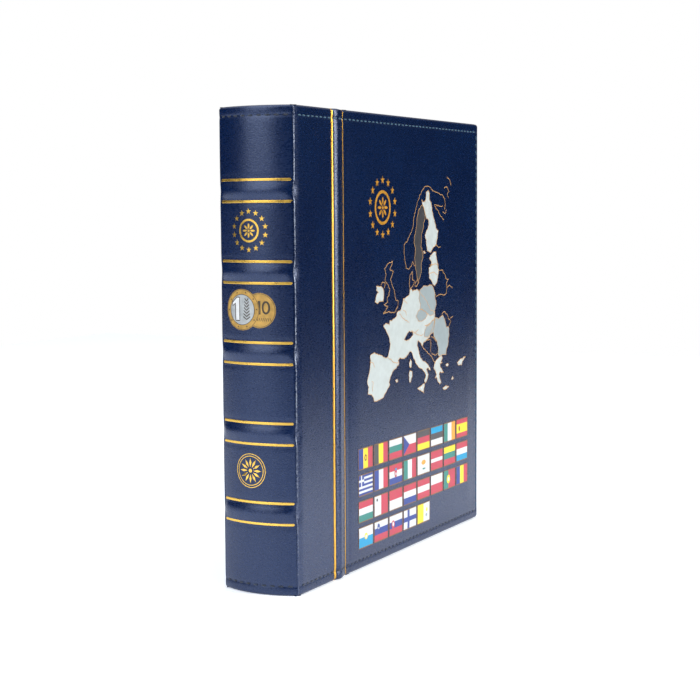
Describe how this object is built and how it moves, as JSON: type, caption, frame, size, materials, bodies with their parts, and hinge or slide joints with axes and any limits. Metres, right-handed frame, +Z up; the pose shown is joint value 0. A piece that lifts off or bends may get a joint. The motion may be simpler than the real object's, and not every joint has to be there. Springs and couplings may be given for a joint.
{
  "type": "coin album",
  "caption": "Padded navy leatherette album with rounded banded spine, ribbed cover hinges, a ring mechanism with end levers and turning clear pocket sheets, standing closed.",
  "frame": {"origin": "centre of the case's outline on the surface it stands on", "axes": "+Z up along the spine, +X from the spine to the fore edge, -Y out of the front cover"},
  "size_m": [0.257, 0.0536, 0.275],
  "materials": {
    "leather": "fine-grained leatherette, semi-gloss",
    "padding": "soft foam sheet",
    "board": "grey binder's board",
    "lining": "matt embossed lining paper",
    "steel": "nickel-plated sheet steel",
    "ring": "nickel-plated wire",
    "film": "clear soft plastic film",
    "card": "printed card",
    "gold": "hot-stamped gold foil",
    "silver": "hot-stamped silver foil",
    "print": "screen-printed ink",
    "thread": "twisted sewing thread"
  },
  "bodies": {
    "spine": {"spine_leather": "leather", "spine_bands": "leather", "spine_padding": "padding", "spine_board": "board", "spine_lining": "lining", "mechanism_plate": "steel", "mechanism_rivets": "steel", "lever_pins": "steel"},
    "top_lever": {"top_lever": "steel"},
    "bottom_lever": {"bottom_lever": "steel"},
    "front_rings": {"front_ring_halves": "ring", "front_blade": "steel"},
    "back_rings": {"back_ring_halves": "ring", "back_blade": "steel"},
    "front_strip": {"front_strip_leather": "leather", "front_strip_board": "board", "front_strip_lining": "lining", "front_hinge_rib": "leather"},
    "front_cover": {"front_cover_leather": "leather", "front_cover_padding": "padding", "front_cover_board": "board", "front_cover_lining": "lining"},
    "back_strip": {"back_strip_leather": "leather", "back_strip_board": "board", "back_strip_lining": "lining", "back_hinge_rib": "leather"},
    "back_cover": {"back_cover_leather": "leather", "back_cover_padding": "padding", "back_cover_board": "board", "back_cover_lining": "lining"},
    "sheet_1": {"sheet_1_pocket": "film", "sheet_1_card": "card"},
    "sheet_2": {"sheet_2_pocket": "film", "sheet_2_card": "card"},
    "sheet_3": {"sheet_3_pocket": "film", "sheet_3_card": "card"},
    "sheet_4": {"sheet_4_pocket": "film", "sheet_4_card": "card"},
    "sheet_5": {"sheet_5_pocket": "film", "sheet_5_card": "card"}
  },
  "joints": [
    {"name": "front_strip_hinge", "type": "hinge", "parent": "spine", "child": "front_strip", "pos_m": [-0.1195, -0.0225, 0.1375], "axis": [0, 0, -1], "range_deg": [0, 90]},
    {"name": "front_cover_hinge", "type": "hinge", "parent": "front_strip", "child": "front_cover", "pos_m": [-0.0625, -0.0225, 0.1375], "axis": [0, 0, -1], "range_deg": [0, 90]},
    {"name": "back_strip_hinge", "type": "hinge", "parent": "spine", "child": "back_strip", "pos_m": [-0.1195, 0.0225, 0.1375], "axis": [0, 0, 1], "range_deg": [0, 90]},
    {"name": "back_cover_hinge", "type": "hinge", "parent": "back_strip", "child": "back_cover", "pos_m": [-0.0625, 0.0225, 0.1375], "axis": [0, 0, 1], "range_deg": [0, 90]},
    {"name": "front_rings_open", "type": "hinge", "parent": "spine", "child": "front_rings", "pos_m": [-0.114, -0.0088, 0.1375], "axis": [0, 0, -1], "range_deg": [0, 7]},
    {"name": "back_rings_open", "type": "hinge", "parent": "spine", "child": "back_rings", "pos_m": [-0.114, 0.0088, 0.1375], "axis": [0, 0, 1], "range_deg": [0, 7]},
    {"name": "top_lever_press", "type": "hinge", "parent": "spine", "child": "top_lever", "pos_m": [-0.1134, 0, 0.2566], "axis": [0, -1, 0], "range_deg": [0, 21]},
    {"name": "bottom_lever_press", "type": "hinge", "parent": "spine", "child": "bottom_lever", "pos_m": [-0.1134, 0, 0.0184], "axis": [0, 1, 0], "range_deg": [0, 21]},
    {"name": "sheet_1_turn", "type": "hinge", "parent": "spine", "child": "sheet_1", "pos_m": [-0.098, 0, 0.1375], "axis": [0, 0, -1], "range_deg": [0, 85.5]},
    {"name": "sheet_2_turn", "type": "hinge", "parent": "spine", "child": "sheet_2", "pos_m": [-0.098, 0, 0.1375], "axis": [0, 0, -1], "range_deg": [0, 67.5]},
    {"name": "sheet_3_turn", "type": "hinge", "parent": "spine", "child": "sheet_3", "pos_m": [-0.098, 0, 0.1375], "axis": [0, 0, -1], "range_deg": [0, 49.5]},
    {"name": "sheet_4_turn", "type": "hinge", "parent": "spine", "child": "sheet_4", "pos_m": [-0.098, 0, 0.1375], "axis": [0, 0, -1], "range_deg": [0, 31.5]},
    {"name": "sheet_5_turn", "type": "hinge", "parent": "spine", "child": "sheet_5", "pos_m": [-0.098, 0, 0.1375], "axis": [0, 0, -1], "range_deg": [0, 13.5]}
  ],
  "couplings": [
    {"joint": "back_rings_open", "follows": "front_rings_open", "ratio": 1},
    {"joint": "top_lever_press", "follows": "front_rings_open", "ratio": 3},
    {"joint": "bottom_lever_press", "follows": "front_rings_open", "ratio": 3},
    {"joint": "sheet_1_turn", "follows": "front_strip_hinge", "ratio": 0.95},
    {"joint": "sheet_2_turn", "follows": "front_strip_hinge", "ratio": 0.75},
    {"joint": "sheet_3_turn", "follows": "front_strip_hinge", "ratio": 0.55},
    {"joint": "sheet_4_turn", "follows": "front_strip_hinge", "ratio": 0.35},
    {"joint": "sheet_5_turn", "follows": "front_strip_hinge", "ratio": 0.15}
  ]
}
